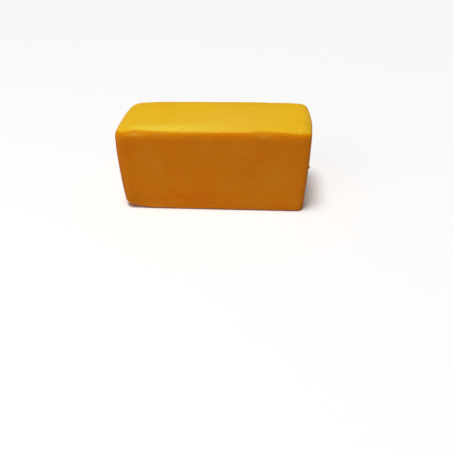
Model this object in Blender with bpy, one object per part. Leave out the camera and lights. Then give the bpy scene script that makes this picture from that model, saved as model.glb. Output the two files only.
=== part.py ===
"""Prato cheese block: one loaf pressed in a mould, resting on its flat underside.

Run it with blender --background --python part.py, or from Blender's text editor.
Units are metres and +Z is up. +X runs along the loaf, and its front is at -Y.
The origin is under the middle of the loaf, at the level of its underside.
"""

import math

import bmesh
import bpy
import numpy as np

# Sizes of the loaf before its draft, its crown and the swelling of its ends
LENGTH = 0.2381
DEPTH = 0.1120
HEIGHT = 0.1108

# Rounding of the edges: the value at the base, then the value at the top
LEFT_END_ROUND = (0.0074, 0.0203)  # along X, at the two upright edges of the left end
RIGHT_END_ROUND = (0.0079, 0.0122)
FRONT_ROUND = (0.0080, 0.0067)  # along Y, at the edges of the front
BACK_ROUND = (0.0076, 0.0086)
BASE_EDGE_ROUND = 0.0025  # along Z
TOP_FRONT_EDGE_ROUND = 0.0058
TOP_BACK_EDGE_ROUND = 0.0063

# What the rounding gains near each end, where the mould's corners were softer
LEFT_FRONT_GAIN = (0.0050, 0.0027)
LEFT_BACK_GAIN = (0.0019, 0.0053)
LEFT_LEVEL_GAIN = (0.0054, 0.0044)  # along Z
RIGHT_FRONT_GAIN = (0.0010, 0.0004)
RIGHT_BACK_GAIN = (0.0009, 0.0023)
RIGHT_LEVEL_GAIN = (0.0002, 0.0028)
GAIN_POWER = 6  # a higher power keeps the gain nearer to the end

# How the sides depart from flat
LEFT_DRAFT = 0.0018  # outward lean of an end, from mid height to the top
RIGHT_DRAFT = 0.0026
SIDE_DRAFT = 0.0016
LEFT_BELLY = 0.0029  # swelling of an end halfway up
RIGHT_BELLY = 0.0012
LEFT_BOW = 0.0041  # swelling of an end halfway back
RIGHT_BOW = 0.0027
SWELLING_POWER = 4  # keeps both swellings near the ends
LEFT_FLARE = 0.0051  # share by which an end is farther out at the back than at mid depth
RIGHT_FLARE = 0.0079
CROWN = 0.0010  # rise of the top's middle
ARRIS_SAG = 0.0007  # dip of the top's front edge at mid length
ARRIS_SWING = 0.0006  # rise of that edge to the right of mid length, and its dip to the left
LEVEL_POWER = 3  # keeps the crown and the edge's wave near the top, and the curl near the base
CORNER_LIFT = 0.0048  # how far the base's front left corner curls up, outside its flat
CORNER_START = 0.76  # share of the half length at which the curl starts at the front
CORNER_SLANT = 0.8  # how much nearer to the end it starts farther back

# Gentle unevenness of the pressed surface: long waves that cross
WAVE_COUNT = 7
WAVE_HEIGHT = 0.00009  # of one wave
WAVE_LENGTH = 0.042  # of the shortest wave
WAVE_GROWTH = 1.17  # each wave is longer than the last by this
GOLDEN_ANGLE = math.pi * (3 - math.sqrt(5))
WAVE_LEAN = 0.9
WAVE_PHASE = 1.7
WAVE_FADE = 0.010  # height over the underside at which the waves reach full size

# Single marks: centre, reach along X, Y and Z, and rise, which is below zero for a dent
NUB = ((0.1209, -0.0494, 0.0620), (0.0042, 0.0042, 0.0030), 0.0016)
NUB_STEP = ((0.1204, -0.0494, 0.0571), (0.0042, 0.0046, 0.0034), -0.0006)
NICK = ((0.1062, -0.0545, 0.1100), (0.0034, 0.0046, 0.0046), -0.0010)
LEFT_PRESS = ((-0.0913, -0.0555, 0.1085), (0.0200, 0.0070, 0.0070), -0.0006)
RIGHT_PRESS = ((0.0622, -0.0555, 0.1085), (0.0130, 0.0070, 0.0070), -0.0006)
MARKS = (NUB, NUB_STEP, NICK, LEFT_PRESS, RIGHT_PRESS)

# Cuts of the mesh: steps over each rounded edge, and over the flat between along each axis
ROUND_STEPS = 6
FLAT_STEPS = (20, 9, 9)
NUB_LEVEL_CUTS = (-0.0072, -0.0038, -0.0015, 0.0015, 0.0036)  # along Z, from the nub's centre
NUB_DEPTH_CUTS = (0.0024, 0.0048)  # along Y

CHEESE_COLOUR = (0.78, 0.43, 0.035, 1.0)
CHEESE_ROUGHNESS = 0.45


def start_clean():
    for item in list(bpy.data.objects):
        bpy.data.objects.remove(item, do_unlink=True)


def between(low, high, share):
    return low + (high - low) * share


def stations(flat_steps, more_places=()):
    """Places of the cuts along one axis, as rows of place and turn.

    Place runs from -1 to 1 over the flat. Turn is 0 there, and runs on to -1 or 1 over
    the rounded edge at either side.
    """
    turns = np.linspace(0, 1, ROUND_STEPS + 1)[1:]
    places = np.sort(np.append(np.linspace(-1, 1, flat_steps + 1), more_places))
    rows = [(-1.0, -turn) for turn in turns[::-1]]
    rows += [(place, 0.0) for place in places]
    rows += [(1.0, turn) for turn in turns]
    return np.array(rows)


def nub_levels():
    """The cuts above and below the nub as places from -1 to 1 up the block."""
    reach = HEIGHT / 2 - (BASE_EDGE_ROUND + TOP_FRONT_EDGE_ROUND) / 2
    return [(NUB[0][2] + cut - HEIGHT / 2) / reach for cut in NUB_LEVEL_CUTS]


def nub_depths():
    """The cuts behind the nub as places from -1 to 1 across the block."""
    reach = DEPTH / 2 - FRONT_ROUND[0]
    return [(NUB[0][1] + cut) / reach for cut in NUB_DEPTH_CUTS]


def rounding(place):
    """Rounding along X, Y and Z at each place, and how it gains towards the ends."""
    right, back, up = ((place + 1) / 2).T
    near_left = np.clip(-place[:, 0], 0, 1) ** GAIN_POWER
    near_right = np.clip(place[:, 0], 0, 1) ** GAIN_POWER

    along = between(between(*LEFT_END_ROUND, up), between(*RIGHT_END_ROUND, up), right)
    front_gain = near_left * between(*LEFT_FRONT_GAIN, up) + near_right * between(*RIGHT_FRONT_GAIN, up)
    back_gain = near_left * between(*LEFT_BACK_GAIN, up) + near_right * between(*RIGHT_BACK_GAIN, up)
    across = between(between(*FRONT_ROUND, up) + front_gain, between(*BACK_ROUND, up) + back_gain, back)
    level_gain = near_left * between(*LEFT_LEVEL_GAIN, up) + near_right * between(*RIGHT_LEVEL_GAIN, up)
    top_round = between(TOP_FRONT_EDGE_ROUND, TOP_BACK_EDGE_ROUND, back)
    level = between(BASE_EDGE_ROUND, top_round, up) + level_gain
    return np.column_stack([along, across, level])


def swelling(points):
    """Height of the unevenness at each point."""
    total = np.zeros(len(points))
    for number in range(WAVE_COUNT):
        heading = number * GOLDEN_ANGLE
        lean = WAVE_LEAN * math.sin(number)
        direction = (
            math.cos(heading) * math.cos(lean),
            math.sin(heading) * math.cos(lean),
            math.sin(lean),
        )
        length = WAVE_LENGTH * WAVE_GROWTH**number
        total += np.sin(2 * math.pi / length * (points @ direction) + number * WAVE_PHASE)
    return WAVE_HEIGHT * total * np.clip(points[:, 2] / WAVE_FADE, 0, 1)


def mark(points, centre, reach, rise):
    """Height of one smooth bump or dent at each point."""
    distance = np.linalg.norm((points - centre) / reach, axis=1)
    return rise * (1 - np.clip(distance, 0, 1) ** 2) ** 2


def form(place, turn):
    """Points of the loaf's surface and its outward directions there, before the single marks.

    Each row of place and turn holds the values along X, Y and Z.
    """
    side = np.where(turn == 0, place, np.sign(turn))
    half = np.array([LENGTH, DEPTH, HEIGHT]) / 2
    radius = rounding(side)
    outward = np.tan(turn * math.pi / 4)
    outward /= np.linalg.norm(outward, axis=1, keepdims=True)
    points = side * (half - radius) + outward * radius

    x, y, z = (points / half).T
    points[:, 0] += x * np.where(x < 0, LEFT_DRAFT, RIGHT_DRAFT) * z
    points[:, 1] += y * SIDE_DRAFT * z
    belly = 1 - np.clip(np.abs(z), 0, 1) ** 2
    bow = 1 - np.clip(np.abs(y), 0, 1) ** 2
    near_end = np.sign(x) * np.clip(np.abs(x), 0, 1) ** SWELLING_POWER
    points[:, 0] += near_end * belly * np.where(x < 0, LEFT_BELLY, RIGHT_BELLY)
    points[:, 0] += near_end * bow * np.where(x < 0, LEFT_BOW, RIGHT_BOW)
    points[:, 0] *= 1 + np.where(x < 0, LEFT_FLARE, RIGHT_FLARE) * y

    top = np.clip((z + 1) / 2, 0, 1) ** LEVEL_POWER
    front = np.clip((1 - y) / 2, 0, 1) ** 2
    points[:, 2] += CROWN * top * bow * (1 - x**2)
    wave = ARRIS_SWING * np.sin(math.pi * x) - ARRIS_SAG * np.cos(math.pi * x)
    points[:, 2] += wave * top * front
    low = np.clip((1 - z) / 2, 0, 1) ** LEVEL_POWER
    curl = np.clip((-x - CORNER_SLANT * (y + 1) - CORNER_START) / (1 - CORNER_START), 0, None)
    points[:, 2] += CORNER_LIFT * low * curl
    points[:, 2] += half[2]

    points += outward * swelling(points)[:, None]
    middle = (points.min(axis=0) + points.max(axis=0)) / 2
    return points - [middle[0], middle[1], 0], outward


def cut_box(counts):
    """A box whose corners are whole numbers, cut at every whole number along each axis."""
    box = bmesh.new()
    bmesh.ops.create_cube(box, size=1.0)
    for corner in box.verts:
        corner.co = [(value + 0.5) * count for value, count in zip(corner.co, counts)]
    for axis, count in enumerate(counts):
        normal = [float(axis == other) for other in range(3)]
        for cut in range(1, count):
            bmesh.ops.bisect_plane(
                box,
                geom=box.verts[:] + box.edges[:] + box.faces[:],
                plane_co=[cut * value for value in normal],
                plane_no=normal,
            )
    return box


def cheese_material():
    material = bpy.data.materials.new("prato_cheese")
    material.use_nodes = True
    shader = material.node_tree.nodes["Principled BSDF"]
    shader.inputs["Base Color"].default_value = CHEESE_COLOUR
    shader.inputs["Roughness"].default_value = CHEESE_ROUGHNESS
    shader.inputs["Metallic"].default_value = 0.0
    return material


def make_block():
    """The whole loaf as one closed solid, centred on the origin and flat underneath."""
    cuts = [
        stations(FLAT_STEPS[0]),
        stations(FLAT_STEPS[1], nub_depths()),
        stations(FLAT_STEPS[2], nub_levels()),
    ]
    block = cut_box([len(rows) - 1 for rows in cuts])
    numbers = np.rint([corner.co for corner in block.verts]).astype(int)
    rows = np.stack([cuts[axis][numbers[:, axis]] for axis in range(3)], axis=1)
    points, outward = form(rows[:, :, 0], rows[:, :, 1])
    for centre, reach, rise in MARKS:
        points += outward * mark(points, centre, reach, rise)[:, None]
    for corner, point in zip(block.verts, points):
        corner.co = point

    underside = [face for face in block.faces if all(abs(corner.co.z) < 1e-7 for corner in face.verts)]
    for face in underside:
        for corner in face.verts:
            corner.co.z = 0
    bmesh.ops.dissolve_faces(block, faces=underside, use_verts=True)
    bmesh.ops.recalc_face_normals(block, faces=block.faces[:])

    mesh = bpy.data.meshes.new("cheese_block")
    block.to_mesh(mesh)
    block.free()
    mesh.materials.append(cheese_material())
    mesh.shade_smooth()
    cheese = bpy.data.objects.new("cheese_block", mesh)
    bpy.context.scene.collection.objects.link(cheese)
    return cheese


start_clean()
make_block()
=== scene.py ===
"""Prato cheese block: the looks of one whole loaf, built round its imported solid.

The loaf is one piece. Its mesh has the solid's form at a finer step, with the real relief of
a pressed and handled cheese: long swells, small dimples, brush strokes, bruises and nicks.
The numbers that a user would change are in three property groups. The rest are named below.
"""

import math

import bpy
import numpy as np
from mathutils import Matrix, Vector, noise


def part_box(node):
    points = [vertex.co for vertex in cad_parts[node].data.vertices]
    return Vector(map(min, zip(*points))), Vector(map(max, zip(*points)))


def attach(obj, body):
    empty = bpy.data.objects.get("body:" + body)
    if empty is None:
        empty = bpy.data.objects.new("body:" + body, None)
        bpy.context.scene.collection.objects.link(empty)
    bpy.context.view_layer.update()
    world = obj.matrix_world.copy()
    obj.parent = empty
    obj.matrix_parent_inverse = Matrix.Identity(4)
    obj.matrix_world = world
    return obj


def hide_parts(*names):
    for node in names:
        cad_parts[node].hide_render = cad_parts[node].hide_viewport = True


bl_info = {
    "name": "Prato Cheese Block",
    "version": (1, 0, 0),
    "blender": (4, 5, 0),
    "location": "3D View > Sidebar > Cheese",
    "description": "Builds a whole loaf of prato cheese, its waxy finish and a plain studio",
    "category": "Add Mesh",
}

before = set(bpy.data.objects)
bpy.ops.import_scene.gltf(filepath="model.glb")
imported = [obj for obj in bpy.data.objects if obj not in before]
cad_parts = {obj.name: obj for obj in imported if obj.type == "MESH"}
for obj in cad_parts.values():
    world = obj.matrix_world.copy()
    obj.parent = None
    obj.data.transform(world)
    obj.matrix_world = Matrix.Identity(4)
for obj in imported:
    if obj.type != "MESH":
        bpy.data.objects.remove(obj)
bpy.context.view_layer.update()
NODE = "cheese_block"

# Rounding of the edges: the value at the base, then the value at the top
LEFT_END_ROUND = (0.0074, 0.0203)  # along X, at the two upright edges of the left end
RIGHT_END_ROUND = (0.0079, 0.0122)
FRONT_ROUND = (0.0080, 0.0067)  # along Y, at the edges of the front
BACK_ROUND = (0.0076, 0.0086)
BASE_EDGE_ROUND = 0.0025  # along Z
TOP_FRONT_EDGE_ROUND = 0.0058
TOP_BACK_EDGE_ROUND = 0.0063

# What the rounding gains near each end, where the mould's corners were softer
LEFT_FRONT_GAIN = (0.0050, 0.0027)
LEFT_BACK_GAIN = (0.0019, 0.0053)
LEFT_LEVEL_GAIN = (0.0054, 0.0044)  # along Z
RIGHT_FRONT_GAIN = (0.0010, 0.0004)
RIGHT_BACK_GAIN = (0.0009, 0.0023)
RIGHT_LEVEL_GAIN = (0.0002, 0.0028)
GAIN_POWER = 6  # a higher power keeps the gain nearer to the end

# How the sides depart from flat
LEFT_DRAFT = 0.0018  # outward lean of an end, from mid height to the top
RIGHT_DRAFT = 0.0026
SIDE_DRAFT = 0.0016
LEFT_BELLY = 0.0029  # swelling of an end halfway up
RIGHT_BELLY = 0.0012
LEFT_BOW = 0.0041  # swelling of an end halfway back
RIGHT_BOW = 0.0027
SWELLING_POWER = 4  # keeps both swellings near the ends
LEFT_FLARE = 0.0051  # share by which an end is farther out at the back than at mid depth
RIGHT_FLARE = 0.0079
CROWN = 0.0010  # rise of the top's middle
ARRIS_SAG = 0.0007  # dip of the top's front edge at mid length
ARRIS_SWING = 0.0006  # rise of that edge to the right of mid length, and its dip to the left
LEVEL_POWER = 3  # keeps the crown and the edge's wave near the top, and the curl near the base
CORNER_LIFT = 0.0048  # how far the base's front left corner curls up, outside its flat
CORNER_START = 0.76  # share of the half length at which the curl starts at the front
CORNER_SLANT = 0.8  # how much nearer to the end it starts farther back

# Gentle unevenness of the pressed surface: long waves that cross
WAVE_COUNT = 7
WAVE_HEIGHT = 0.00009  # of one wave
WAVE_LENGTH = 0.042  # of the shortest wave
WAVE_GROWTH = 1.17  # each wave is longer than the last by this
GOLDEN_ANGLE = math.pi * (3 - math.sqrt(5))
WAVE_LEAN = 0.9
WAVE_PHASE = 1.7
WAVE_FADE = 0.010  # height over the underside at which the relief reaches full size

# Small dimples of the skin, as pairs of width and height
DIMPLES = ((0.016, 0.00012), (0.0065, 0.00005))

# Single marks: centre, reach along X, Y and Z, and rise, which is below zero for a dent
NUB = ((0.1207, -0.0494, 0.0615), (0.0040, 0.0042, 0.0028), 0.0014)
NUB_STEP = ((0.1204, -0.0494, 0.0571), (0.0042, 0.0046, 0.0034), -0.0006)
NICK = ((0.1062, -0.0505, 0.1108), (0.0024, 0.0072, 0.0060), -0.0008)
NOTCH = ((0.1066, -0.0574, 0.1022), (0.0014, 0.0030, 0.0018), -0.0004)
RIGHT_END_PRESS = ((0.1145, -0.0560, 0.1095), (0.0090, 0.0065, 0.0065), -0.0006)
LEFT_PRESS = ((-0.0913, -0.0555, 0.1085), (0.0200, 0.0070, 0.0070), -0.0006)
RIGHT_PRESS = ((0.0622, -0.0555, 0.1085), (0.0130, 0.0070, 0.0070), -0.0006)
LEFT_CORNER_PRESS = ((-0.1195, -0.0505, 0.1035), (0.0080, 0.0100, 0.0055), -0.0007)
BACK_EDGE_RISE = ((0.0400, 0.0530, 0.1105), (0.0360, 0.0120, 0.0100), 0.0006)
BACK_PRESSES = (
    ((0.0480, 0.0570, 0.1015), (0.0220, 0.0080, 0.0075), -0.0007),
    ((-0.0720, 0.0570, 0.1010), (0.0160, 0.0080, 0.0075), -0.0006),
)
END_DENTS = (
    ((-0.1245, 0.0180, 0.0700), (0.0060, 0.0160, 0.0120), -0.0006),
    ((0.1245, 0.0120, 0.0430), (0.0060, 0.0190, 0.0140), -0.0006),
)
EDGE_PECKS = (
    ((-0.0511, -0.0541, 0.1092), (0.0019, 0.0026, 0.0026), -0.0004),
    ((-0.0340, -0.0542, 0.1093), (0.0017, 0.0026, 0.0026), -0.0004),
    ((0.0055, -0.0546, 0.1095), (0.0016, 0.0024, 0.0024), -0.0003),
    ((0.0890, 0.0555, 0.1082), (0.0022, 0.0028, 0.0028), -0.0004),
    ((0.0120, 0.0560, 0.1086), (0.0018, 0.0026, 0.0026), -0.0004),
    ((-0.0440, 0.0558, 0.1084), (0.0020, 0.0026, 0.0026), -0.0004),
)
TOP_PECK = ((0.0626, -0.0156, 0.1118), (0.0018, 0.0018, 0.0030), -0.0003)
MARKS = (
    NUB, NUB_STEP, NICK, NOTCH, LEFT_PRESS, RIGHT_PRESS, RIGHT_END_PRESS, LEFT_CORNER_PRESS,
    BACK_EDGE_RISE, *BACK_PRESSES, *END_DENTS, *EDGE_PECKS, TOP_PECK,
)

# Scuffs, where the skin is dull and milky: centre, reach along X, Y and Z, and share
SCUFFS = (
    ((-0.0945, -0.0568, 0.1052), (0.0130, 0.0060, 0.0036), 0.42),
    ((-0.0660, -0.0572, 0.1050), (0.0140, 0.0060, 0.0034), 0.30),
    ((0.0640, -0.0569, 0.1046), (0.0120, 0.0060, 0.0034), 0.42),
    ((0.1188, -0.0546, 0.1018), (0.0016, 0.0020, 0.0016), 0.40),
    ((0.0490, 0.0570, 0.1005), (0.0150, 0.0070, 0.0040), 0.45),
    ((-0.0730, 0.0570, 0.1000), (0.0120, 0.0070, 0.0036), 0.40),
    ((-0.1230, 0.0120, 0.0990), (0.0080, 0.0160, 0.0040), 0.40),
    ((0.1235, 0.0180, 0.1010), (0.0080, 0.0180, 0.0036), 0.40),
)

# Stretches with another tint: centre, reach along X, Y and Z, and share, which is above zero for
# paler or yellower and below zero for deeper orange
SIDE_TINTS = (
    ((-0.079, -0.057, 0.068), (0.026, 0.030, 0.032), 0.60),
    ((0.085, -0.057, 0.046), (0.038, 0.030, 0.026), 0.60),
    ((-0.035, -0.057, 0.018), (0.075, 0.030, 0.016), -0.60),
    ((-0.109, -0.055, 0.090), (0.010, 0.030, 0.012), -0.60),
    ((-0.078, -0.054, 0.0045), (0.034, 0.020, 0.0035), 1.00),
    ((0.032, -0.057, 0.084), (0.030, 0.030, 0.020), 0.50),
    ((0.060, 0.057, 0.072), (0.036, 0.030, 0.030), 0.70),
    ((-0.055, 0.057, 0.036), (0.050, 0.030, 0.030), -0.60),
    ((-0.100, 0.056, 0.080), (0.024, 0.030, 0.024), 0.60),
    ((0.102, 0.055, 0.018), (0.026, 0.030, 0.018), 0.60),
    ((-0.124, 0.008, 0.056), (0.030, 0.034, 0.028), 0.70),
    ((-0.124, 0.020, 0.014), (0.030, 0.036, 0.014), -0.60),
    ((0.124, -0.004, 0.076), (0.030, 0.030, 0.024), 0.70),
    ((0.124, 0.026, 0.022), (0.030, 0.030, 0.020), -0.60),
)
TOP_TINTS = (
    ((0.014, -0.025, 0.112), (0.100, 0.060, 0.030), 0.40),
    ((0.120, 0.000, 0.110), (0.040, 0.075, 0.030), -0.32),
    ((-0.078, 0.040, 0.112), (0.034, 0.022, 0.030), -0.40),
    # painted shade: deeper along the top's back edge
    ((0.040, 0.043, 0.112), (0.080, 0.014, 0.030), -0.30),
    ((-0.1144, 0.0232, 0.1091), (0.0045, 0.0055, 0.0045), -0.80),
    ((-0.1073, -0.0458, 0.1108), (0.0040, 0.0030, 0.0040), -0.60),
    ((0.1207, -0.0103, 0.1089), (0.0030, 0.0040, 0.0030), 0.90),
)
EDGE_DEEPS = (  # deeper orange under the top's edges
    ((0.1140, -0.0565, 0.1050), (0.0085, 0.0090, 0.0065), 0.90),
    ((0.0200, -0.0560, 0.1065), (0.0700, 0.0120, 0.0095), 0.50),
)

# A limit, below, is the name of a value, where the effect starts and where it is full. The names
# x, y and z are places. Rightward and upward tell how far the surface faces that way, from -1 to 1.

# Painted glow: the brighter stretch of the sides below the top, where light comes through the top's
# edge
GLOW_LEVELS = (0.0965, 0.1105)
GLOW_RAGGED = 0.004  # how far the fine patches move those levels
GLOW_DIP = (0.002, -0.020, -0.045)  # how much lower they are on the left, from and to which X

# Painted shade: the deeper orange over the top's edges, and the spot where it runs down the left
# end
EDGE_SHADE_FACING = (0.10, 0.55)  # how upward the surface faces where it starts and where it is full
LEFT_RIM = ((-0.1183, -0.0528, 0.0995), (0.0050, 0.0070, 0.0085))
LEFT_RIM_SHARE = 0.9

# The sides' orange is painted shade: a darker, more orange copy of the top's yellow where the
# surface turns from the light. Where the top's yellow begins, by how upward the surface faces, and
# how stretches
# of the edge along X differ: where the change starts, where it is full, and how much lower the
# yellow reaches
TOP_FACING = (0.645, 0.865)
TOP_REACH = (
    (-0.104, -0.111, 0.060),
    (-0.095, -0.101, 0.060),
    (-0.078, -0.092, -0.015),
    (0.042, 0.052, -0.085),
    (0.070, 0.078, 0.085),
    (0.078, 0.104, 0.250),
    (0.105, 0.111, -0.045),
    (0.113, 0.121, -0.110),
)

# Painted sheen: the pale stretch on the top, along and behind its front edge
SHEEN_START = -0.095  # its left end, along X
SHEEN_EDGE = -0.046  # its back limit there, along Y
SHEEN_SLANT = 0.14  # how that limit moves away from the edge to the right
SHEEN_FADE = (0.010, -0.006)  # how far behind that limit it starts and is full
SHEEN_LIMITS = (("x", -0.110, -0.096), ("x", 0.060, -0.075), ("upward", 0.85, 0.97))

# Fine streaks on the top, more to the right
STREAK_WIDTH = 0.0035
STREAK_SCALE = (0.3, 1, 1)  # along X, Y and Z, so that they run along the loaf
STREAK_SHARE = 0.13
STREAK_LIMITS = (("upward", 0.90, 0.98), ("x", -0.070, 0.0))

# Painted shade, where the skin is made darker because less light falls there: at the rounded ends
# by the front, on the sides below the top, towards the top's back edge and at the base on the
# right. By what share, and the limits of each stretch
PAINTED_SHADE_STRETCHES = (
    (0.26, (("rightward", 0.35, 1.0), ("upward", 0.40, 0.05), ("y", -0.020, -0.045))),
    (0.16, (("rightward", -0.40, -0.95), ("upward", 0.40, 0.05), ("y", -0.020, -0.045))),
    (0.03, (("x", -0.098, -0.118), ("upward", 0.40, 0.05))),
    (0.03, (("upward", 0.99, 0.90),)),
    (0.03, (("y", 0.026, 0.046),)),
    (0.02, (("y", 0.044, 0.053), ("upward", 0.60, 0.80))),
    (0.07, (("z", 0.014, 0.003), ("x", -0.020, 0.030))),
)
PAINTED_SHADE_SPOTS = (  # painted shade on the nub, in the notch and low on the front's left: centre, reach and share
    (NUB[0], NUB[1], 0.60),
    (NOTCH[0], NOTCH[1], 0.12),
    ((-0.094, -0.055, 0.012), (0.046, 0.030, 0.017), 0.09),  # round the brush strokes
)

# Unevenness of the skin, in three kinds of patches: width and detail of each
BROAD = (0.045, 1.0)
FINE = (0.009, 3.0)
GRAIN = (0.0016, 2.0)

# How far two kinds of patches move a value
SIDE_MOTTLE = (1.4, 0.5)  # broad and fine, for the tint
TOP_MOTTLE = (0.35, 0.25)
SHADE_MOTTLE = (0.07, 0.08)  # fine and grain
ROUGHNESS_MOTTLE = (0.16, 0.10)
PATCHY = (0.75, 0.5)  # least share of the painted sheen or a scuffed place, and what the fine patches add

SHADE = 0.985  # brightness of the whole
ROUGHNESS = 0.46
GLINT_FULL = 0.9  # strength at which the painted glint on a nick or a peck is full
GLINT_SHARE = 0.7  # of the pale colour of that glint

# Strokes of a brush low on the left of the front, slanting down to the right. On the back they
# are mirrored.
STROKE_START = (-0.1083, 0.0234)  # X and Z of the corner that they start from
STROKE_SLOPE = math.radians(21.7)
STROKE_HEIGHT = 0.00020
STROKE_FACING = (0.3, 0.9)  # how far the surface faces front or back where they start and are full
STROKE_SHARE = 0.12  # of the paler colour on their crests, and of the added brightness
# Each stroke: centre along and above a line from that corner, reach both ways, and strength
STROKES = (
    ((0.050, 0.0158), (0.032, 0.0020), 0.7),
    ((0.058, 0.0085), (0.022, 0.0020), 0.6),
    ((0.029, 0.0118), (0.020, 0.0021), 0.5),
    ((0.026, 0.0066), (0.026, 0.0018), 0.9),
    ((0.036, 0.0024), (0.030, 0.0020), 0.7),
    ((0.032, -0.0027), (0.033, 0.0019), 1.0),
    ((0.037, -0.0072), (0.026, 0.0022), 0.8),
)


class LoafSizes(bpy.types.PropertyGroup):
    """Sizes of the loaf before its draft, its crown and the swelling of its ends"""

    length: bpy.props.FloatProperty(
        name="Length", description="Along the loaf", default=0.2381, unit="LENGTH"
    )
    depth: bpy.props.FloatProperty(
        name="Depth", description="From front to back", default=0.1120, unit="LENGTH"
    )
    height: bpy.props.FloatProperty(
        name="Height", description="Up to the edges of the top", default=0.1108, unit="LENGTH"
    )
    flat_steps: bpy.props.IntVectorProperty(
        name="Flat steps",
        description="Mesh steps over each flat, along X, Y and Z",
        default=(166, 72, 72),
    )
    round_steps: bpy.props.IntProperty(
        name="Round steps", description="Mesh steps over each rounded edge", default=12
    )


class CheeseColours(bpy.types.PropertyGroup):
    """Colours of the cheese's surface"""

    top: bpy.props.FloatVectorProperty(
        name="Top",
        description="Bright yellow of the top",
        default=(0.783, 0.445, 0.0120),
        subtype="COLOR",
    )
    top_deep: bpy.props.FloatVectorProperty(
        name="Top, deeper",
        description="Deeper stretches of the top",
        default=(0.735, 0.375, 0.0090),
        subtype="COLOR",
    )
    milky: bpy.props.FloatVectorProperty(
        name="Milky",
        description="Milkier stretches of the top",
        default=(0.785, 0.452, 0.045),
        subtype="COLOR",
    )
    # Painted sheen by the top's front edge, and painted glints on the nicks and pecks
    pale: bpy.props.FloatVectorProperty(
        name="Pale",
        description="Rubbed band by the top's front edge",
        default=(0.80, 0.562, 0.041),
        subtype="COLOR",
    )
    scuff: bpy.props.FloatVectorProperty(
        name="Scuff",
        description="Dull scuffs under that edge",
        default=(0.70, 0.380, 0.050),
        subtype="COLOR",
    )
    # Painted shade: deeper orange over the top's rounded edges, between the lit top and the shaded
    # sides
    edge: bpy.props.FloatVectorProperty(
        name="Edge",
        description="Ripe skin over the top's rounded edges",
        default=(0.67, 0.256, 0.0006),
        subtype="COLOR",
    )
    edge_deep: bpy.props.FloatVectorProperty(
        name="Edge, deeper",
        description="Deeper stretches below those edges",
        default=(0.665, 0.200, 0.0006),
        subtype="COLOR",
    )
    # Painted glow: light that comes through the top's edge, drawn as a brighter colour below it
    glow: bpy.props.FloatVectorProperty(
        name="Glow",
        description="Brighter stretch of the sides below the top",
        default=(0.765, 0.248, 0.002),
        subtype="COLOR",
    )
    # The sides' three oranges are painted shade: darker, more orange copies of the top's yellow
    side: bpy.props.FloatVectorProperty(
        name="Side",
        description="Orange of the four sides",
        default=(0.600, 0.177, 0.0030),
        subtype="COLOR",
    )
    side_yellow: bpy.props.FloatVectorProperty(
        name="Side, yellower",
        description="Yellower patches of the sides",
        default=(0.595, 0.207, 0.0076),
        subtype="COLOR",
    )
    side_deep: bpy.props.FloatVectorProperty(
        name="Side, deeper",
        description="Deeper patches of the sides",
        default=(0.588, 0.149, 0.0018),
        subtype="COLOR",
    )


class StudioSettings(bpy.types.PropertyGroup):
    """Floor, lights and camera"""

    floor: bpy.props.FloatVectorProperty(
        name="Floor",
        description="Colour of the floor",
        default=(0.92, 0.92, 0.915),
        subtype="COLOR",
    )
    key: bpy.props.FloatProperty(
        name="Key", description="Strength of the light from above", default=2.75
    )
    sky: bpy.props.FloatProperty(name="Sky", description="Brightness all round", default=0.14)
    fill: bpy.props.FloatProperty(
        name="Fill", description="Power of the fill light", default=3.0, unit="POWER"
    )
    lens: bpy.props.FloatProperty(
        name="Lens", description="Focal length in pixels of the photo", default=521.0
    )
    stand: bpy.props.FloatVectorProperty(
        name="Camera",
        description="Place of the camera",
        default=(0.0592, -0.6493, 0.3448),
        subtype="TRANSLATION",
    )
    heading: bpy.props.FloatProperty(
        name="Heading",
        description="Turn of the camera from +Y towards +X",
        default=math.radians(-4.08),
        subtype="ANGLE",
    )
    tilt: bpy.props.FloatProperty(
        name="Tilt",
        description="How far the camera looks down",
        default=math.radians(31.85),
        subtype="ANGLE",
    )
    roll: bpy.props.FloatProperty(
        name="Roll",
        description="Turn of the camera about its line of sight",
        default=math.radians(0.75),
        subtype="ANGLE",
    )


def between(low, high, share):
    return low + (high - low) * share


def stations(flat_steps, round_steps):
    """Places of the cuts along one axis, as rows of place and turn.

    Place runs from -1 to 1 over the flat. Turn is 0 there, and runs on to -1 or 1 over
    the rounded edge at either side.
    """
    turns = np.linspace(0, 1, round_steps + 1)[1:]
    rows = [(-1.0, -turn) for turn in turns[::-1]]
    rows += [(place, 0.0) for place in np.linspace(-1, 1, flat_steps + 1)]
    rows += [(1.0, turn) for turn in turns]
    return np.array(rows)


def rounding(place):
    """Rounding along X, Y and Z at each place, and how it gains towards the ends."""
    right, back, up = ((place + 1) / 2).T
    near_left = np.clip(-place[:, 0], 0, 1) ** GAIN_POWER
    near_right = np.clip(place[:, 0], 0, 1) ** GAIN_POWER

    def gain(at_left, at_right):
        return near_left * between(*at_left, up) + near_right * between(*at_right, up)

    along = between(between(*LEFT_END_ROUND, up), between(*RIGHT_END_ROUND, up), right)
    front_round = between(*FRONT_ROUND, up) + gain(LEFT_FRONT_GAIN, RIGHT_FRONT_GAIN)
    back_round = between(*BACK_ROUND, up) + gain(LEFT_BACK_GAIN, RIGHT_BACK_GAIN)
    top_round = between(TOP_FRONT_EDGE_ROUND, TOP_BACK_EDGE_ROUND, back)
    level = between(BASE_EDGE_ROUND, top_round, up) + gain(LEFT_LEVEL_GAIN, RIGHT_LEVEL_GAIN)
    return np.column_stack([along, between(front_round, back_round, back), level])


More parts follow.
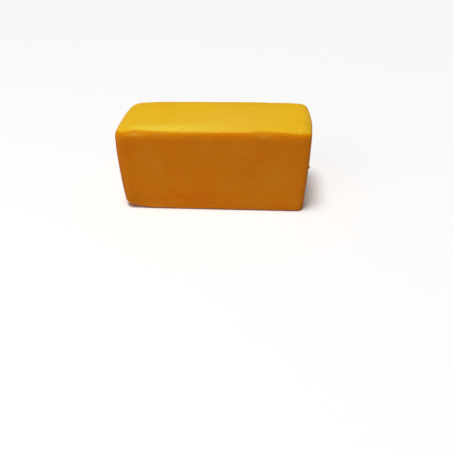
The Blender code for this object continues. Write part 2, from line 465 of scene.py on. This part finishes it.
def swelling(points):
    """Height of the unevenness at each point."""
    total = np.zeros(len(points))
    for number in range(WAVE_COUNT):
        heading = number * GOLDEN_ANGLE
        lean = WAVE_LEAN * math.sin(number)
        direction = (
            math.cos(heading) * math.cos(lean),
            math.sin(heading) * math.cos(lean),
            math.sin(lean),
        )
        length = WAVE_LENGTH * WAVE_GROWTH**number
        total += np.sin(2 * math.pi / length * (points @ direction) + number * WAVE_PHASE)
    return WAVE_HEIGHT * total * np.clip(points[:, 2] / WAVE_FADE, 0, 1)


def dimples(points):
    """Height of the small unevenness of the skin at each point."""
    total = np.zeros(len(points))
    for width, height in DIMPLES:
        total += height * np.array([noise.noise(place) for place in points / width])
    return total


def mark(points, centre, reach, rise):
    """Height of one smooth bump or dent at each point."""
    distance = np.linalg.norm((points - centre) / reach, axis=1)
    return rise * (1 - np.clip(distance, 0, 1) ** 2) ** 2


def stroke_place(x, z):
    """How far a place lies along the brush strokes, and how far above their corner's line."""
    over = x - STROKE_START[0]
    down = STROKE_START[1] - z
    along = over * math.cos(STROKE_SLOPE) + down * math.sin(STROKE_SLOPE)
    above = over * math.sin(STROKE_SLOPE) - down * math.cos(STROKE_SLOPE)
    return along, above


def strokes(points, outward):
    """Height of the brush strokes on the front and the back at each point."""
    total = 0
    for side in (1, -1):
        places = np.column_stack(stroke_place(side * points[:, 0], points[:, 2]))
        marks = sum(mark(places, centre, reach, strength) for centre, reach, strength in STROKES)
        total = total + marks * np.clip(-side * outward[:, 1], 0, 1)
    return STROKE_HEIGHT * total


def fill_box(points, low, high):
    """Moves points, and stretches them by under a thousandth, so that they just fill a box."""
    lowest = points.min(axis=0)
    share = (points - lowest) / (points.max(axis=0) - lowest)
    return np.array(low) + share * (np.array(high) - np.array(low))


def relief(points, outward):
    """Height of the finer relief at each point."""
    rise = dimples(points) + strokes(points, outward)
    for centre, reach, height in MARKS:
        rise += mark(points, centre, reach, height)
    return rise * np.clip(points[:, 2] / WAVE_FADE, 0, 1)


def form(sizes, place, turn):
    """Points of the loaf's surface and its outward directions there, before the finer relief.

    Each row of place and turn holds the values along X, Y and Z.
    """
    side = np.where(turn == 0, place, np.sign(turn))
    half = np.array([sizes.length, sizes.depth, sizes.height]) / 2
    radius = rounding(side)
    outward = np.tan(turn * math.pi / 4)
    outward /= np.linalg.norm(outward, axis=1, keepdims=True)
    points = side * (half - radius) + outward * radius

    x, y, z = (points / half).T
    points[:, 0] += x * np.where(x < 0, LEFT_DRAFT, RIGHT_DRAFT) * z
    points[:, 1] += y * SIDE_DRAFT * z
    belly = 1 - np.clip(np.abs(z), 0, 1) ** 2
    bow = 1 - np.clip(np.abs(y), 0, 1) ** 2
    near_end = np.sign(x) * np.clip(np.abs(x), 0, 1) ** SWELLING_POWER
    points[:, 0] += near_end * belly * np.where(x < 0, LEFT_BELLY, RIGHT_BELLY)
    points[:, 0] += near_end * bow * np.where(x < 0, LEFT_BOW, RIGHT_BOW)
    points[:, 0] *= 1 + np.where(x < 0, LEFT_FLARE, RIGHT_FLARE) * y

    top = np.clip((z + 1) / 2, 0, 1) ** LEVEL_POWER
    front = np.clip((1 - y) / 2, 0, 1) ** 2
    points[:, 2] += CROWN * top * bow * (1 - x**2)
    wave = ARRIS_SWING * np.sin(math.pi * x) - ARRIS_SAG * np.cos(math.pi * x)
    points[:, 2] += wave * top * front
    low = np.clip((1 - z) / 2, 0, 1) ** LEVEL_POWER
    curl = np.clip((-x - CORNER_SLANT * (y + 1) - CORNER_START) / (1 - CORNER_START), 0, None)
    points[:, 2] += CORNER_LIFT * low * curl
    points[:, 2] += half[2]

    points += outward * swelling(points)[:, None]
    return fill_box(points, *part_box(NODE)), outward


def box_shell(counts):
    """The whole-number points on a box's outside, and the quads that join them, facing out."""
    shape = [count + 1 for count in counts]
    grid = np.indices(shape)
    ends = [(grid[axis] == 0) | (grid[axis] == counts[axis]) for axis in range(3)]
    outside = np.any(ends, axis=0)
    number = np.full(shape, -1)
    number[outside] = np.arange(outside.sum())
    quads = []
    for axis in range(3):
        for end in (0, -1):
            sheet = np.take(number, end, axis=axis)
            corners = [sheet[:-1, :-1], sheet[1:, :-1], sheet[1:, 1:], sheet[:-1, 1:]]
            if (end == 0) != (axis == 1):
                corners.reverse()
            quads.append(np.stack(corners, axis=-1).reshape(-1, 4))
    return np.argwhere(outside), np.concatenate(quads)


def loaf_mesh(sizes):
    cuts = [stations(steps, sizes.round_steps) for steps in sizes.flat_steps]
    numbers, quads = box_shell([len(rows) - 1 for rows in cuts])
    rows = np.stack([cuts[axis][numbers[:, axis]] for axis in range(3)], axis=1)
    points, outward = form(sizes, rows[:, :, 0], rows[:, :, 1])
    points += outward * relief(points, outward)[:, None]
    points = np.clip(points, *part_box(NODE))
    mesh = bpy.data.meshes.new("prato_loaf")
    mesh.from_pydata(points.tolist(), [], quads.tolist())
    mesh.shade_smooth()
    return mesh


class Wire:
    """A node's output, which can stand in sums. An operator on it adds a Math node."""

    def __init__(self, graph, socket):
        self.graph = graph
        self.socket = socket

    def math(self, operation, first, second):
        return self.graph.add("ShaderNodeMath", {"operation": operation}, {0: first, 1: second})

    def __add__(self, other):
        return self.math("ADD", self, other)

    def __radd__(self, other):
        return self.math("ADD", other, self)

    def __sub__(self, other):
        return self.math("SUBTRACT", self, other)

    def __rsub__(self, other):
        return self.math("SUBTRACT", other, self)

    def __mul__(self, other):
        return self.math("MULTIPLY", self, other)

    def __rmul__(self, other):
        return self.math("MULTIPLY", other, self)


class Graph:
    """Adds nodes to the tree of a material or of the world."""

    def __init__(self, tree):
        self.tree = tree
        tree.nodes.clear()

    def add(self, kind, settings=None, inputs=None, output=0):
        """Adds a node of a kind, with settings and with values or wires for its sockets.

        It gives the wire of one output, or nothing for a node that has none.
        """
        node = self.tree.nodes.new(kind)
        for name, value in (settings or {}).items():
            setattr(node, name, value)
        for name, value in (inputs or {}).items():
            if isinstance(value, Wire):
                self.tree.links.new(value.socket, node.inputs[name])
            else:
                node.inputs[name].default_value = value
        return Wire(self, node.outputs[output]) if node.outputs else None

    def vector(self, operation, inputs, output=0):
        return self.add("ShaderNodeVectorMath", {"operation": operation}, inputs, output)

    def parts(self, vector):
        """The wires of a vector's X, Y and Z."""
        return [self.add("ShaderNodeSeparateXYZ", {}, {0: vector}, axis) for axis in "XYZ"]

    def mix(self, share, first, second):
        """A colour that goes from the first to the second as share goes from 0 to 1."""
        inputs = {"Factor": share, 6: first, 7: second}
        return self.add("ShaderNodeMix", {"data_type": "RGBA"}, inputs, output=2)

    def rise(self, value, low, high):
        """A smooth step from 0 at low to 1 at high. It falls if high is the lower."""
        inputs = {"Value": value, "From Min": low, "From Max": high}
        return self.add("ShaderNodeMapRange", {"interpolation_type": "SMOOTHSTEP"}, inputs)

    def ramp(self, value, low, high):
        """A straight slope from 0 at low to 1 at high. It falls if high is the lower."""
        inputs = {"Value": value, "From Min": low, "From Max": high}
        return self.add("ShaderNodeMapRange", {}, inputs)

    def cloud(self, place, width, detail=2.0):
        """Soft noise from 0 to 1, in patches of about this width in metres."""
        inputs = {"Vector": place, "Scale": 1 / width, "Detail": detail}
        return self.add("ShaderNodeTexNoise", {}, inputs)

    def spot(self, place, centre, reach):
        """1 at a centre, falling smoothly to 0 at its reach along X, Y and Z."""
        offset = self.vector("SUBTRACT", {0: place, 1: centre})
        share = self.vector("DIVIDE", {0: offset, 1: reach})
        return self.rise(self.vector("LENGTH", {0: share}, output="Value"), 1.0, 0.0)


def opaque(colour):
    return (*colour, 1.0)


def mottled(first, second, shares):
    """Two kinds of patches about their middle, each by its share."""
    return (first - 0.5) * shares[0] + (second - 0.5) * shares[1]


def limited(graph, values, limits):
    """1 where every limit is full, falling to 0 where any of them starts."""
    total = 1
    for name, start, full in limits:
        total = total * graph.rise(values[name], start, full)
    return total


def toned(graph, place, tints, unevenness, deep, plain, bright):
    """A plain colour that goes to the bright one over tints above zero, to the deep one below."""
    tone = unevenness
    for centre, reach, share in tints:
        tone = tone + graph.spot(place, centre, reach) * share
    colour = graph.mix(graph.ramp(tone, 0.0, 1.0), opaque(plain), opaque(bright))
    return graph.mix(graph.ramp(tone, 0.0, -1.0), colour, opaque(deep))


def stroke_tint(graph, x, z, forward):
    """1 on the crests of the brush strokes, 0 beside them."""
    total = 0
    for side in (1, -1):
        along, above = stroke_place(side * x, z)
        place = graph.add("ShaderNodeCombineXYZ", {}, {"X": along, "Y": above})
        facing = graph.rise(side * forward, *STROKE_FACING)
        for centre, reach, strength in STROKES:
            total = total + graph.spot(place, (*centre, 0), (*reach, 1)) * facing * strength
    return total


def cheese_finish(colours):
    """Waxy cheese: yellow top, orange sides of painted shade, mottled, with painted shade, sheen
    and glints, a brighter painted band below the top's edge, and slightly see-through.
    """
    material = bpy.data.materials.new("prato_cheese")
    material.use_nodes = True
    graph = Graph(material.node_tree)
    place = graph.add("ShaderNodeTexCoord", output="Object")
    normal = graph.add("ShaderNodeTexCoord", output="Normal")
    x, y, z = graph.parts(place)
    rightward, backward, upward = graph.parts(normal)
    values = {"x": x, "y": y, "z": z, "rightward": rightward, "upward": upward}
    broad = graph.cloud(place, *BROAD)
    fine = graph.cloud(place, *FINE)
    grain = graph.cloud(place, *GRAIN)
    patchy = PATCHY[0] + fine * PATCHY[1]

    mottle = mottled(broad, fine, SIDE_MOTTLE)
    # Sides in painted shade, as a darker, more orange copy of the top's yellow
    tones = (colours.side_deep, colours.side, colours.side_yellow)
    side = toned(graph, place, SIDE_TINTS, mottle, *tones)
    # Painted glow below the top's edge
    depth, *dip_limits = GLOW_DIP
    level = z + (fine - 0.5) * GLOW_RAGGED + graph.rise(x, *dip_limits) * depth
    side = graph.mix(graph.rise(level, *GLOW_LEVELS), side, opaque(colours.glow))
    # Painted shade over the rounded edges of the top
    edge_shade = graph.rise(upward, *EDGE_SHADE_FACING) + graph.spot(place, *LEFT_RIM) * LEFT_RIM_SHARE
    side = graph.mix(edge_shade, side, opaque(colours.edge))
    for centre, reach, share in EDGE_DEEPS:
        side = graph.mix(graph.spot(place, centre, reach) * share, side, opaque(colours.edge_deep))

    mottle = mottled(broad, fine, TOP_MOTTLE)
    tones = (colours.top_deep, colours.top, colours.milky)
    top = toned(graph, place, TOP_TINTS, mottle, *tones)
    # Painted sheen along and behind the top's front edge
    behind = y - SHEEN_EDGE - (x - SHEEN_START) * SHEEN_SLANT
    painted_sheen = graph.rise(behind, *SHEEN_FADE) * limited(graph, values, SHEEN_LIMITS)
    top = graph.mix(painted_sheen * patchy, top, opaque(colours.pale))
    facing = upward
    for start, full, share in TOP_REACH:
        facing = facing + graph.rise(x, start, full) * share
    # Yellow top over the sides' painted shade, by how upward the surface faces
    colour = graph.mix(graph.rise(facing, *TOP_FACING), side, top)

    # Painted glints: pale spots on the nicks and pecks, which are real dents
    painted_glints = 0
    for centre, reach, _ in (NICK, *EDGE_PECKS, TOP_PECK):
        painted_glints = painted_glints + graph.spot(place, centre, reach)
    painted_glints = graph.rise(painted_glints, 0.0, GLINT_FULL) * GLINT_SHARE
    colour = graph.mix(painted_glints, colour, opaque(colours.pale))
    for centre, reach, share in SCUFFS:
        scuffed = graph.spot(place, centre, reach) * patchy * share
        colour = graph.mix(scuffed, colour, opaque(colours.scuff))
    stroked = stroke_tint(graph, x, z, 0 - backward) * STROKE_SHARE
    colour = graph.mix(stroked, colour, opaque(colours.scuff))

    # Painted shade, as the share by which the colour is made darker
    painted_shade = 0
    for share, limits in PAINTED_SHADE_STRETCHES:
        painted_shade = painted_shade + limited(graph, values, limits) * share
    for centre, reach, share in PAINTED_SHADE_SPOTS:
        painted_shade = painted_shade + graph.spot(place, centre, reach) * share
    drawn_out = graph.vector("MULTIPLY", {0: place, 1: STREAK_SCALE})
    streaks = (graph.cloud(drawn_out, STREAK_WIDTH) - 0.5) * limited(graph, values, STREAK_LIMITS)
    shade = SHADE + mottled(fine, grain, SHADE_MOTTLE) + streaks * STREAK_SHARE + stroked
    shaded = graph.vector("SCALE", {0: colour, "Scale": shade * (1 - painted_shade)})

    skin = {"Strength": 0.25, "Distance": 0.0004, "Height": fine * 0.6 + grain * 0.4}
    shader = graph.add(
        "ShaderNodeBsdfPrincipled",
        {"subsurface_method": "RANDOM_WALK"},
        {
            "Base Color": shaded,
            "Roughness": ROUGHNESS + mottled(fine, grain, ROUGHNESS_MOTTLE),
            "Normal": graph.add("ShaderNodeBump", {}, skin),
            "IOR": 1.45,
            "Specular IOR Level": 0.04,
            "Subsurface Weight": 0.30,
            "Subsurface Radius": (1.0, 0.42, 0.10),
            "Subsurface Scale": 0.004,
            "Coat Weight": graph.rise(upward, 0.88, 0.99) * 0.04,
            "Coat Roughness": 0.38,
        },
    )
    graph.add("ShaderNodeOutputMaterial", {}, {"Surface": shader})
    return material


class CHEESE_OT_loaf(bpy.types.Operator):
    """Make the whole loaf of cheese in place of its plain solid"""

    bl_idname = "cheese.loaf"
    bl_label = "Make the loaf"

    def execute(self, context):
        mesh = loaf_mesh(context.scene.loaf_sizes)
        mesh.materials.append(cheese_finish(context.scene.cheese_colours))
        loaf = bpy.data.objects.new("prato_loaf", mesh)
        context.scene.collection.objects.link(loaf)
        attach(loaf, "root")
        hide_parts(NODE)
        return {"FINISHED"}


PHOTO_WIDTH = 453  # in pixels
FLOOR_RADIUS = 4.0
FLOOR_SIDES = 96
FLOOR_ROUGHNESS = 0.6
DOME_SEGMENTS = 64
LIGHTS_HEADING = math.radians(-35)
KEY_TILT = math.radians(10.5)  # from straight above
KEY_SPREAD = math.radians(24)
FILL_TILT = math.radians(60)
FILL_DISTANCE = 1.4
FILL_SIZE = 1.0
FILL_COLOUR = (1.0, 0.97, 0.93)


def disc(name, radius):
    """A flat disc on the ground."""
    turns = np.linspace(0, 2 * math.pi, FLOOR_SIDES, endpoint=False)
    rim = [(radius * math.cos(turn), radius * math.sin(turn), 0.0) for turn in turns]
    mesh = bpy.data.meshes.new(name)
    mesh.from_pydata(rim, [], [range(FLOOR_SIDES)])
    thing = bpy.data.objects.new(name, mesh)
    bpy.context.scene.collection.objects.link(thing)
    return thing


def plain_finish(name, colour, roughness):
    material = bpy.data.materials.new(name)
    material.use_nodes = True
    graph = Graph(material.node_tree)
    shader = graph.add(
        "ShaderNodeBsdfPrincipled",
        {},
        {"Base Color": opaque(colour), "Roughness": roughness, "Specular IOR Level": 0.0},
    )
    graph.add("ShaderNodeOutputMaterial", {}, {"Surface": shader})
    return material


def glowing_finish(name, colour):
    material = bpy.data.materials.new(name)
    material.use_nodes = True
    graph = Graph(material.node_tree)
    shader = graph.add("ShaderNodeEmission", {}, {"Color": opaque(colour), "Strength": 1.0})
    graph.add("ShaderNodeOutputMaterial", {}, {"Surface": shader})
    return material


def make_backdrop(settings):
    """A pale dome that only the camera sees, so that the floor runs into it."""
    bpy.ops.mesh.primitive_uv_sphere_add(
        segments=DOME_SEGMENTS, ring_count=DOME_SEGMENTS // 2, radius=FLOOR_RADIUS
    )
    dome = bpy.context.object
    dome.name = "backdrop"
    dome.data.materials.append(glowing_finish("backdrop", settings.floor))
    for rays in ("diffuse", "glossy", "transmission", "volume_scatter", "shadow"):
        setattr(dome, f"visible_{rays}", False)


def make_light(name, kind, power, turn, **values):
    light = bpy.data.lights.new(name, kind)
    light.energy = power
    for key, value in values.items():
        setattr(light, key, value)
    lamp = bpy.data.objects.new(name, light)
    lamp.matrix_world = turn
    bpy.context.scene.collection.objects.link(lamp)
    return lamp


def make_camera(settings):
    """Stands the camera where the photo was taken from."""
    camera = bpy.data.cameras.new("camera")
    camera.sensor_width = 36.0
    camera.lens = settings.lens / PHOTO_WIDTH * camera.sensor_width
    camera.clip_start = 0.01
    stand = bpy.data.objects.new("camera", camera)
    stand.matrix_world = (
        Matrix.Translation(settings.stand)
        @ Matrix.Rotation(-settings.heading, 4, "Z")
        @ Matrix.Rotation(math.pi / 2 - settings.tilt, 4, "X")
        @ Matrix.Rotation(-settings.roll, 4, "Z")
    )
    bpy.context.scene.collection.objects.link(stand)
    bpy.context.scene.camera = stand


def make_world(settings):
    world = bpy.data.worlds.new("studio")
    world.use_nodes = True
    graph = Graph(world.node_tree)
    inputs = {"Color": opaque((1.0, 1.0, 1.0)), "Strength": settings.sky}
    sky = graph.add("ShaderNodeBackground", {}, inputs)
    graph.add("ShaderNodeOutputWorld", {}, {"Surface": sky})
    bpy.context.scene.world = world


class CHEESE_OT_studio(bpy.types.Operator):
    """Make the pale floor, the soft lights and the camera"""

    bl_idname = "cheese.studio"
    bl_label = "Make the studio"

    def execute(self, context):
        settings = context.scene.studio_settings
        floor = disc("floor", FLOOR_RADIUS)
        floor.data.materials.append(plain_finish("floor", settings.floor, FLOOR_ROUGHNESS))
        make_backdrop(settings)
        make_world(settings)
        heading = Matrix.Rotation(LIGHTS_HEADING, 4, "Z")
        key_turn = heading @ Matrix.Rotation(KEY_TILT, 4, "X")
        make_light("key", "SUN", settings.key, key_turn, angle=KEY_SPREAD)
        fill_turn = heading @ Matrix.Rotation(FILL_TILT, 4, "X")
        fill_turn = fill_turn @ Matrix.Translation((0, 0, FILL_DISTANCE))
        make_light("fill", "AREA", settings.fill, fill_turn, size=FILL_SIZE, color=FILL_COLOUR)
        make_camera(settings)
        context.scene.view_settings.view_transform = "Standard"
        return {"FINISHED"}


class CHEESE_PT_panel(bpy.types.Panel):
    """Lists the pieces of the cheese block and its studio"""

    bl_idname = "CHEESE_PT_panel"
    bl_label = "Prato Cheese Block"
    bl_space_type = "VIEW_3D"
    bl_region_type = "UI"
    bl_category = "Cheese"

    def draw(self, context):
        for group, operator in (
            (context.scene.loaf_sizes, None),
            (context.scene.cheese_colours, CHEESE_OT_loaf),
            (context.scene.studio_settings, CHEESE_OT_studio),
        ):
            for name in group.bl_rna.properties.keys()[1:]:
                self.layout.prop(group, name)
            if operator:
                self.layout.operator(operator.bl_idname)


CLASSES = (
    LoafSizes,
    CheeseColours,
    StudioSettings,
    CHEESE_OT_loaf,
    CHEESE_OT_studio,
    CHEESE_PT_panel,
)


def register():
    for each in CLASSES:
        bpy.utils.register_class(each)
    bpy.types.Scene.loaf_sizes = bpy.props.PointerProperty(type=LoafSizes)
    bpy.types.Scene.cheese_colours = bpy.props.PointerProperty(type=CheeseColours)
    bpy.types.Scene.studio_settings = bpy.props.PointerProperty(type=StudioSettings)


def unregister():
    del bpy.types.Scene.studio_settings
    del bpy.types.Scene.cheese_colours
    del bpy.types.Scene.loaf_sizes
    for each in reversed(CLASSES):
        bpy.utils.unregister_class(each)


def main():
    register()
    bpy.ops.cheese.loaf()
    bpy.ops.cheese.studio()


if __name__ == "__main__":
    main()
